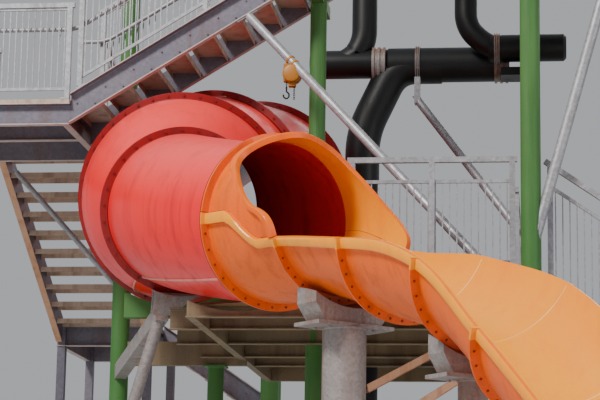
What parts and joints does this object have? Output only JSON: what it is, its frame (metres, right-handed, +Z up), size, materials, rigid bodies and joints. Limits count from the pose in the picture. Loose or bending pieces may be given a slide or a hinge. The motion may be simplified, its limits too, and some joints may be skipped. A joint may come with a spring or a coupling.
{
  "type": "water slide tower",
  "caption": "Steel stair tower carrying an enclosed tube slide that narrows through a turn and opens through a hooded mouth into a banked open trough on poles.",
  "frame": {"origin": "underside of the base plate of the pole below the slide's mouth, at ground level", "axes": "+Z up, +X along the tower's front from the left landing towards the top platform, +Y from the mouth into the tower"},
  "size_m": [11.152, 21.7499, 10.0111],
  "materials": {
    "red_gelcoat": "sun-faded glossy gelcoat on fibreglass",
    "orange_gelcoat": "glossy gelcoat inside, duller outside",
    "green_paint": "weathered green paint on steel pipe",
    "galvanised_steel": "dull hot-dip galvanising",
    "rolled_channel": "weathered rolled channel, grey webs and pinkish-brown edges",
    "floor_plate": "worn floor plate, dark underneath",
    "black_pipe": "black water pipe"
  },
  "bodies": {
    "root": {"Brace": "galvanised_steel", "Column_A": "green_paint", "Column_B": "green_paint", "Column_C": "green_paint", "Column_D": "green_paint", "Column_E": "green_paint", "Column_F": "green_paint", "Column_G": "green_paint", "Column_U1": "green_paint", "Column_U2": "green_paint", "Deck_floor": "floor_plate", "Deck_frame": "rolled_channel", "Deck_guard": "galvanised_steel", "Deck_guard_rear": "galvanised_steel", "Exit_hood": "orange_gelcoat", "Landing_guard": "galvanised_steel", "Left_flight": "rolled_channel", "Left_guard": "galvanised_steel", "Left_landing": "rolled_channel", "Lower_flight_1": "rolled_channel", "Lower_flight_2": "rolled_channel", "Lower_landing": "rolled_channel", "Mouth_pole": "galvanised_steel", "Rear_landing": "rolled_channel", "Right_flight_1": "rolled_channel", "Right_flight_2": "rolled_channel", "Right_guard": "galvanised_steel", "Right_landing": "rolled_channel", "Top_guard": "galvanised_steel", "Top_platform": "rolled_channel", "Trough_1": "orange_gelcoat", "Trough_2": "orange_gelcoat", "Trough_3": "orange_gelcoat", "Trough_4": "orange_gelcoat", "Trough_5": "orange_gelcoat", "Trough_6": "orange_gelcoat", "Trough_7": "orange_gelcoat", "Trough_8": "orange_gelcoat", "Trough_9": "orange_gelcoat", "Trough_pole_2": "galvanised_steel", "Trough_pole_3": "galvanised_steel", "Trough_pole_4": "galvanised_steel", "Trough_pole_5": "galvanised_steel", "Tube_cradle_1": "green_paint", "Tube_cradle_2": "green_paint", "Tube_flare": "red_gelcoat", "Tube_pole_1": "green_paint", "Tube_pole_2": "green_paint", "Tube_prop": "galvanised_steel", "Tube_reducer_1": "red_gelcoat", "Tube_reducer_2": "red_gelcoat", "Tube_stand": "green_paint", "Tube_straight_1": "red_gelcoat", "Tube_straight_2": "red_gelcoat", "Tube_wide_1": "red_gelcoat", "Tube_wide_2": "red_gelcoat", "Upper_flight": "rolled_channel", "Upper_guard_front": "galvanised_steel", "Upper_guard_rear": "galvanised_steel", "Water_header": "black_pipe"}
  },
  "joints": []
}
